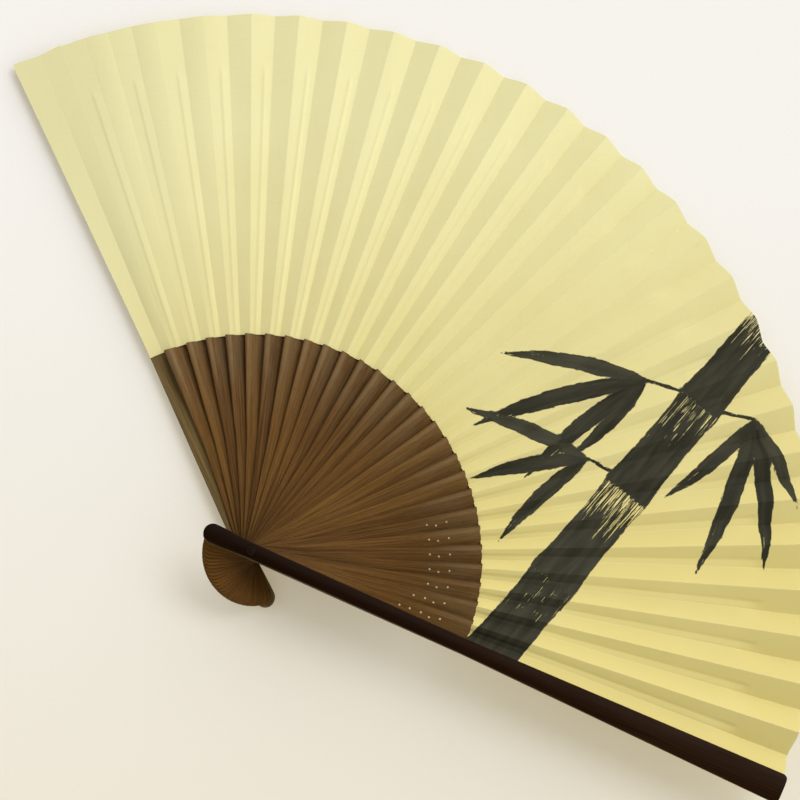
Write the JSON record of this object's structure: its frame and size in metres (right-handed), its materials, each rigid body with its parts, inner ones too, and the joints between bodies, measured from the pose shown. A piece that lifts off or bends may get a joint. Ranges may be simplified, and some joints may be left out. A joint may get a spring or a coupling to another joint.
{
  "type": "folding fan",
  "caption": "Folding hand fan with thin bamboo ribs, two thick lacquered guards and a pleated paper leaf, open on its rivet.",
  "frame": {"origin": "the rivet's axis at the lower (left) guard's flat outer face", "axes": "+Z along the rivet, from the lower guard up to the upper guard; +X and +Y as in the picture, seen from above, with the lower guard at 115 degrees from +X and the upper guard at -23 degrees"},
  "size_m": [0.301, 0.295, 0.0303],
  "materials": {
    "dark_lacquer": "dark brown lacquer, slightly glossy",
    "smoked_bamboo": "smoked bamboo, satin, with fine grain along the rib",
    "ivory_paper": "matt ivory paper, pleated",
    "dark_rivet": "dark plastic rivet, satin"
  },
  "bodies": {
    "left_guard": {"left_guard": "dark_lacquer", "left_leaf_end": "ivory_paper", "pivot_pin": "dark_rivet"},
    "right_guard": {"right_guard": "dark_lacquer", "right_leaf_end": "ivory_paper"},
    "rib_01": {"rib_01": "smoked_bamboo"},
    "rib_02": {"rib_02": "smoked_bamboo"},
    "rib_03": {"rib_03": "smoked_bamboo"},
    "rib_04": {"rib_04": "smoked_bamboo"},
    "rib_05": {"rib_05": "smoked_bamboo"},
    "rib_06": {"rib_06": "smoked_bamboo"},
    "rib_07": {"rib_07": "smoked_bamboo"},
    "rib_08": {"rib_08": "smoked_bamboo"},
    "rib_09": {"rib_09": "smoked_bamboo"},
    "rib_10": {"rib_10": "smoked_bamboo"},
    "rib_11": {"rib_11": "smoked_bamboo"},
    "rib_12": {"rib_12": "smoked_bamboo"},
    "rib_13": {"rib_13": "smoked_bamboo"},
    "rib_14": {"rib_14": "smoked_bamboo"},
    "rib_15": {"rib_15": "smoked_bamboo"},
    "rib_16": {"rib_16": "smoked_bamboo"},
    "rib_17": {"rib_17": "smoked_bamboo"},
    "rib_18": {"rib_18": "smoked_bamboo"},
    "rib_19": {"rib_19": "smoked_bamboo"},
    "rib_20": {"rib_20": "smoked_bamboo"},
    "rib_21": {"rib_21": "smoked_bamboo"},
    "rib_22": {"rib_22": "smoked_bamboo"},
    "rib_23": {"rib_23": "smoked_bamboo"},
    "rib_24": {"rib_24": "smoked_bamboo"},
    "rib_25": {"rib_25": "smoked_bamboo"},
    "rib_26": {"rib_26": "smoked_bamboo"},
    "rib_27": {"rib_27": "smoked_bamboo"},
    "pleat_00": {"pleat_00": "ivory_paper"},
    "pleat_01": {"pleat_01": "ivory_paper"},
    "pleat_02": {"pleat_02": "ivory_paper"},
    "pleat_03": {"pleat_03": "ivory_paper"},
    "pleat_04": {"pleat_04": "ivory_paper"},
    "pleat_05": {"pleat_05": "ivory_paper"},
    "pleat_06": {"pleat_06": "ivory_paper"},
    "pleat_07": {"pleat_07": "ivory_paper"},
    "pleat_08": {"pleat_08": "ivory_paper"},
    "pleat_09": {"pleat_09": "ivory_paper"},
    "pleat_10": {"pleat_10": "ivory_paper"},
    "pleat_11": {"pleat_11": "ivory_paper"},
    "pleat_12": {"pleat_12": "ivory_paper"},
    "pleat_13": {"pleat_13": "ivory_paper"},
    "pleat_14": {"pleat_14": "ivory_paper"},
    "pleat_15": {"pleat_15": "ivory_paper"},
    "pleat_16": {"pleat_16": "ivory_paper"},
    "pleat_17": {"pleat_17": "ivory_paper"},
    "pleat_18": {"pleat_18": "ivory_paper"},
    "pleat_19": {"pleat_19": "ivory_paper"},
    "pleat_20": {"pleat_20": "ivory_paper"},
    "pleat_21": {"pleat_21": "ivory_paper"},
    "pleat_22": {"pleat_22": "ivory_paper"},
    "pleat_23": {"pleat_23": "ivory_paper"},
    "pleat_24": {"pleat_24": "ivory_paper"},
    "pleat_25": {"pleat_25": "ivory_paper"},
    "pleat_26": {"pleat_26": "ivory_paper"},
    "pleat_27": {"pleat_27": "ivory_paper"}
  },
  "joints": [
    {"name": "opening", "type": "hinge", "parent": "left_guard", "child": "right_guard", "pos_m": [0, 0, 0], "axis": [0, 0, 1], "range_deg": [0, 138.16]},
    {"name": "rib_01_turn", "type": "hinge", "parent": "left_guard", "child": "rib_01", "pos_m": [0, 0, 0], "axis": [0, 0, 1], "range_deg": [0, 5.11]},
    {"name": "rib_02_turn", "type": "hinge", "parent": "left_guard", "child": "rib_02", "pos_m": [0, 0, 0], "axis": [0, 0, 1], "range_deg": [0, 10.16]},
    {"name": "rib_03_turn", "type": "hinge", "parent": "left_guard", "child": "rib_03", "pos_m": [0, 0, 0], "axis": [0, 0, 1], "range_deg": [0, 15.2]},
    {"name": "rib_04_turn", "type": "hinge", "parent": "left_guard", "child": "rib_04", "pos_m": [0, 0, 0], "axis": [0, 0, 1], "range_deg": [0, 20.23]},
    {"name": "rib_05_turn", "type": "hinge", "parent": "left_guard", "child": "rib_05", "pos_m": [0, 0, 0], "axis": [0, 0, 1], "range_deg": [0, 25.26]},
    {"name": "rib_06_turn", "type": "hinge", "parent": "left_guard", "child": "rib_06", "pos_m": [0, 0, 0], "axis": [0, 0, 1], "range_deg": [0, 30.28]},
    {"name": "rib_07_turn", "type": "hinge", "parent": "left_guard", "child": "rib_07", "pos_m": [0, 0, 0], "axis": [0, 0, 1], "range_deg": [0, 35.28]},
    {"name": "rib_08_turn", "type": "hinge", "parent": "left_guard", "child": "rib_08", "pos_m": [0, 0, 0], "axis": [0, 0, 1], "range_deg": [0, 40.28]},
    {"name": "rib_09_turn", "type": "hinge", "parent": "left_guard", "child": "rib_09", "pos_m": [0, 0, 0], "axis": [0, 0, 1], "range_deg": [0, 45.28]},
    {"name": "rib_10_turn", "type": "hinge", "parent": "left_guard", "child": "rib_10", "pos_m": [0, 0, 0], "axis": [0, 0, 1], "range_deg": [0, 50.26]},
    {"name": "rib_11_turn", "type": "hinge", "parent": "left_guard", "child": "rib_11", "pos_m": [0, 0, 0], "axis": [0, 0, 1], "range_deg": [0, 55.23]},
    {"name": "rib_12_turn", "type": "hinge", "parent": "left_guard", "child": "rib_12", "pos_m": [0, 0, 0], "axis": [0, 0, 1], "range_deg": [0, 60.2]},
    {"name": "rib_13_turn", "type": "hinge", "parent": "left_guard", "child": "rib_13", "pos_m": [0, 0, 0], "axis": [0, 0, 1], "range_deg": [0, 65.15]},
    {"name": "rib_14_turn", "type": "hinge", "parent": "left_guard", "child": "rib_14", "pos_m": [0, 0, 0], "axis": [0, 0, 1], "range_deg": [0, 70.09]},
    {"name": "rib_15_turn", "type": "hinge", "parent": "left_guard", "child": "rib_15", "pos_m": [0, 0, 0], "axis": [0, 0, 1], "range_deg": [0, 75.03]},
    {"name": "rib_16_turn", "type": "hinge", "parent": "left_guard", "child": "rib_16", "pos_m": [0, 0, 0], "axis": [0, 0, 1], "range_deg": [0, 79.95]},
    {"name": "rib_17_turn", "type": "hinge", "parent": "left_guard", "child": "rib_17", "pos_m": [0, 0, 0], "axis": [0, 0, 1], "range_deg": [0, 84.87]},
    {"name": "rib_18_turn", "type": "hinge", "parent": "left_guard", "child": "rib_18", "pos_m": [0, 0, 0], "axis": [0, 0, 1], "range_deg": [0, 89.77]},
    {"name": "rib_19_turn", "type": "hinge", "parent": "left_guard", "child": "rib_19", "pos_m": [0, 0, 0], "axis": [0, 0, 1], "range_deg": [0, 94.67]},
    {"name": "rib_20_turn", "type": "hinge", "parent": "left_guard", "child": "rib_20", "pos_m": [0, 0, 0], "axis": [0, 0, 1], "range_deg": [0, 99.55]},
    {"name": "rib_21_turn", "type": "hinge", "parent": "left_guard", "child": "rib_21", "pos_m": [0, 0, 0], "axis": [0, 0, 1], "range_deg": [0, 104.42]},
    {"name": "rib_22_turn", "type": "hinge", "parent": "left_guard", "child": "rib_22", "pos_m": [0, 0, 0], "axis": [0, 0, 1], "range_deg": [0, 109.28]},
    {"name": "rib_23_turn", "type": "hinge", "parent": "left_guard", "child": "rib_23", "pos_m": [0, 0, 0], "axis": [0, 0, 1], "range_deg": [0, 114.13]},
    {"name": "rib_24_turn", "type": "hinge", "parent": "left_guard", "child": "rib_24", "pos_m": [0, 0, 0], "axis": [0, 0, 1], "range_deg": [0, 118.97]},
    {"name": "rib_25_turn", "type": "hinge", "parent": "left_guard", "child": "rib_25", "pos_m": [0, 0, 0], "axis": [0, 0, 1], "range_deg": [0, 123.8]},
    {"name": "rib_26_turn", "type": "hinge", "parent": "left_guard", "child": "rib_26", "pos_m": [0, 0, 0], "axis": [0, 0, 1], "range_deg": [0, 128.62]},
    {"name": "rib_27_turn", "type": "hinge", "parent": "left_guard", "child": "rib_27", "pos_m": [0, 0, 0], "axis": [0, 0, 1], "range_deg": [0, 133.42]},
    {"name": "pleat_00_fold", "type": "hinge", "parent": "left_guard", "child": "pleat_00", "pos_m": [0, 0, 0.00432], "axis": [-0.4074, 0.911, 0.0632], "range_deg": [0, 31.26]},
    {"name": "pleat_01_fold", "type": "hinge", "parent": "rib_01", "child": "pleat_01", "pos_m": [0, 0, 0.00513], "axis": [-0.3256, 0.9436, 0.0604], "range_deg": [0, 31.86]},
    {"name": "pleat_02_fold", "type": "hinge", "parent": "rib_02", "child": "pleat_02", "pos_m": [0, 0, 0.00592], "axis": [-0.2413, 0.9687, 0.0577], "range_deg": [0, 32.45]},
    {"name": "pleat_03_fold", "type": "hinge", "parent": "rib_03", "child": "pleat_03", "pos_m": [0, 0, 0.00673], "axis": [-0.1552, 0.9863, 0.055], "range_deg": [0, 33.05]},
    {"name": "pleat_04_fold", "type": "hinge", "parent": "rib_04", "child": "pleat_04", "pos_m": [0, 0, 0.00752], "axis": [-0.0681, 0.9963, 0.0524], "range_deg": [0, 33.65]},
    {"name": "pleat_05_fold", "type": "hinge", "parent": "rib_05", "child": "pleat_05", "pos_m": [0, 0, 0.00833], "axis": [0.0195, 0.9986, 0.05], "range_deg": [0, 34.24]},
    {"name": "pleat_06_fold", "type": "hinge", "parent": "rib_06", "child": "pleat_06", "pos_m": [0, 0, 0.00912], "axis": [0.1069, 0.9931, 0.0476], "range_deg": [0, 34.84]},
    {"name": "pleat_07_fold", "type": "hinge", "parent": "rib_07", "child": "pleat_07", "pos_m": [0, 0, 0.00992], "axis": [0.1933, 0.9801, 0.0452], "range_deg": [0, 35.44]},
    {"name": "pleat_08_fold", "type": "hinge", "parent": "rib_08", "child": "pleat_08", "pos_m": [0, 0, 0.01073], "axis": [0.278, 0.9596, 0.043], "range_deg": [0, 36.04]},
    {"name": "pleat_09_fold", "type": "hinge", "parent": "rib_09", "child": "pleat_09", "pos_m": [0, 0, 0.01153], "axis": [0.3606, 0.9318, 0.0408], "range_deg": [0, 36.63]},
    {"name": "pleat_10_fold", "type": "hinge", "parent": "rib_10", "child": "pleat_10", "pos_m": [0, 0, 0.01232], "axis": [0.4403, 0.897, 0.0387], "range_deg": [0, 37.23]},
    {"name": "pleat_11_fold", "type": "hinge", "parent": "rib_11", "child": "pleat_11", "pos_m": [0, 0, 0.01312], "axis": [0.5165, 0.8555, 0.0366], "range_deg": [0, 37.83]},
    {"name": "pleat_12_fold", "type": "hinge", "parent": "rib_12", "child": "pleat_12", "pos_m": [0, 0, 0.01392], "axis": [0.5887, 0.8076, 0.0346], "range_deg": [0, 38.43]},
    {"name": "pleat_13_fold", "type": "hinge", "parent": "rib_13", "child": "pleat_13", "pos_m": [0, 0, 0.01473], "axis": [0.6564, 0.7537, 0.0327], "range_deg": [0, 39.03]},
    {"name": "pleat_14_fold", "type": "hinge", "parent": "rib_14", "child": "pleat_14", "pos_m": [0, 0, 0.01553], "axis": [0.719, 0.6943, 0.0313], "range_deg": [0, 39.64]},
    {"name": "pleat_15_fold", "type": "hinge", "parent": "rib_15", "child": "pleat_15", "pos_m": [0, 0, 0.01632], "axis": [0.7761, 0.6299, 0.0305], "range_deg": [0, 40.26]},
    {"name": "pleat_16_fold", "type": "hinge", "parent": "rib_16", "child": "pleat_16", "pos_m": [0, 0, 0.01713], "axis": [0.8274, 0.5609, 0.0298], "range_deg": [0, 40.88]},
    {"name": "pleat_17_fold", "type": "hinge", "parent": "rib_17", "child": "pleat_17", "pos_m": [0, 0, 0.01792], "axis": [0.8724, 0.4879, 0.029], "range_deg": [0, 41.51]},
    {"name": "pleat_18_fold", "type": "hinge", "parent": "rib_18", "child": "pleat_18", "pos_m": [0, 0, 0.01872], "axis": [0.9109, 0.4115, 0.0283], "range_deg": [0, 42.13]},
    {"name": "pleat_19_fold", "type": "hinge", "parent": "rib_19", "child": "pleat_19", "pos_m": [0, 0, 0.01953], "axis": [0.9428, 0.3323, 0.0276], "range_deg": [0, 42.76]},
    {"name": "pleat_20_fold", "type": "hinge", "parent": "rib_20", "child": "pleat_20", "pos_m": [0, 0, 0.02032], "axis": [0.9677, 0.2508, 0.0269], "range_deg": [0, 43.38]},
    {"name": "pleat_21_fold", "type": "hinge", "parent": "rib_21", "child": "pleat_21", "pos_m": [0, 0, 0.02113], "axis": [0.9855, 0.1677, 0.0262], "range_deg": [0, 44]},
    {"name": "pleat_22_fold", "type": "hinge", "parent": "rib_22", "child": "pleat_22", "pos_m": [0, 0, 0.02193], "axis": [0.9962, 0.0836, 0.0256], "range_deg": [0, 44.63]},
    {"name": "pleat_23_fold", "type": "hinge", "parent": "rib_23", "child": "pleat_23", "pos_m": [0, 0, 0.02272], "axis": [0.9997, -0.001, 0.0249], "range_deg": [0, 45.25]},
    {"name": "pleat_24_fold", "type": "hinge", "parent": "rib_24", "child": "pleat_24", "pos_m": [0, 0, 0.02353], "axis": [0.9961, -0.0853, 0.0243], "range_deg": [0, 45.88]},
    {"name": "pleat_25_fold", "type": "hinge", "parent": "rib_25", "child": "pleat_25", "pos_m": [0, 0, 0.02432], "axis": [0.9853, -0.1689, 0.0237], "range_deg": [0, 46.5]},
    {"name": "pleat_26_fold", "type": "hinge", "parent": "rib_26", "child": "pleat_26", "pos_m": [0, 0, 0.02513], "axis": [0.9677, -0.2511, 0.0231], "range_deg": [0, 47.12]},
    {"name": "pleat_27_fold", "type": "hinge", "parent": "rib_27", "child": "pleat_27", "pos_m": [0, 0, 0.02593], "axis": [0.9433, -0.3313, 0.0225], "range_deg": [0, 47.75]}
  ],
  "couplings": [
    {"joint": "rib_01_turn", "follows": "opening", "ratio": 0.036606},
    {"joint": "rib_02_turn", "follows": "opening", "ratio": 0.073156},
    {"joint": "rib_03_turn", "follows": "opening", "ratio": 0.10965},
    {"joint": "rib_04_turn", "follows": "opening", "ratio": 0.14608},
    {"joint": "rib_05_turn", "follows": "opening", "ratio": 0.18246},
    {"joint": "rib_06_turn", "follows": "opening", "ratio": 0.21877},
    {"joint": "rib_07_turn", "follows": "opening", "ratio": 0.25502},
    {"joint": "rib_08_turn", "follows": "opening", "ratio": 0.29121},
    {"joint": "rib_09_turn", "follows": "opening", "ratio": 0.32734},
    {"joint": "rib_10_turn", "follows": "opening", "ratio": 0.36339},
    {"joint": "rib_11_turn", "follows": "opening", "ratio": 0.39939},
    {"joint": "rib_12_turn", "follows": "opening", "ratio": 0.43531},
    {"joint": "rib_13_turn", "follows": "opening", "ratio": 0.47117},
    {"joint": "rib_14_turn", "follows": "opening", "ratio": 0.50695},
    {"joint": "rib_15_turn", "follows": "opening", "ratio": 0.54267},
    {"joint": "rib_16_turn", "follows": "opening", "ratio": 0.57831},
    {"joint": "rib_17_turn", "follows": "opening", "ratio": 0.61388},
    {"joint": "rib_18_turn", "follows": "opening", "ratio": 0.64938},
    {"joint": "rib_19_turn", "follows": "opening", "ratio": 0.6848},
    {"joint": "rib_20_turn", "follows": "opening", "ratio": 0.72014},
    {"joint": "rib_21_turn", "follows": "opening", "ratio": 0.75541},
    {"joint": "rib_22_turn", "follows": "opening", "ratio": 0.7906},
    {"joint": "rib_23_turn", "follows": "opening", "ratio": 0.8257},
    {"joint": "rib_24_turn", "follows": "opening", "ratio": 0.86073},
    {"joint": "rib_25_turn", "follows": "opening", "ratio": 0.89567},
    {"joint": "rib_26_turn", "follows": "opening", "ratio": 0.93053},
    {"joint": "rib_27_turn", "follows": "opening", "ratio": 0.96531},
    {"joint": "pleat_00_fold", "follows": "opening", "ratio": 0.2259},
    {"joint": "pleat_01_fold", "follows": "opening", "ratio": 0.23022},
    {"joint": "pleat_02_fold", "follows": "opening", "ratio": 0.23453},
    {"joint": "pleat_03_fold", "follows": "opening", "ratio": 0.23885},
    {"joint": "pleat_04_fold", "follows": "opening", "ratio": 0.24317},
    {"joint": "pleat_05_fold", "follows": "opening", "ratio": 0.24749},
    {"joint": "pleat_06_fold", "follows": "opening", "ratio": 0.25181},
    {"joint": "pleat_07_fold", "follows": "opening", "ratio": 0.25613},
    {"joint": "pleat_08_fold", "follows": "opening", "ratio": 0.26046},
    {"joint": "pleat_09_fold", "follows": "opening", "ratio": 0.26478},
    {"joint": "pleat_10_fold", "follows": "opening", "ratio": 0.26911},
    {"joint": "pleat_11_fold", "follows": "opening", "ratio": 0.27344},
    {"joint": "pleat_12_fold", "follows": "opening", "ratio": 0.27776},
    {"joint": "pleat_13_fold", "follows": "opening", "ratio": 0.28209},
    {"joint": "pleat_14_fold", "follows": "opening", "ratio": 0.28652},
    {"joint": "pleat_15_fold", "follows": "opening", "ratio": 0.29103},
    {"joint": "pleat_16_fold", "follows": "opening", "ratio": 0.29555},
    {"joint": "pleat_17_fold", "follows": "opening", "ratio": 0.30006},
    {"joint": "pleat_18_fold", "follows": "opening", "ratio": 0.30458},
    {"joint": "pleat_19_fold", "follows": "opening", "ratio": 0.3091},
    {"joint": "pleat_20_fold", "follows": "opening", "ratio": 0.31361},
    {"joint": "pleat_21_fold", "follows": "opening", "ratio": 0.31813},
    {"joint": "pleat_22_fold", "follows": "opening", "ratio": 0.32265},
    {"joint": "pleat_23_fold", "follows": "opening", "ratio": 0.32716},
    {"joint": "pleat_24_fold", "follows": "opening", "ratio": 0.33168},
    {"joint": "pleat_25_fold", "follows": "opening", "ratio": 0.3362},
    {"joint": "pleat_26_fold", "follows": "opening", "ratio": 0.34071},
    {"joint": "pleat_27_fold", "follows": "opening", "ratio": 0.34523}
  ]
}
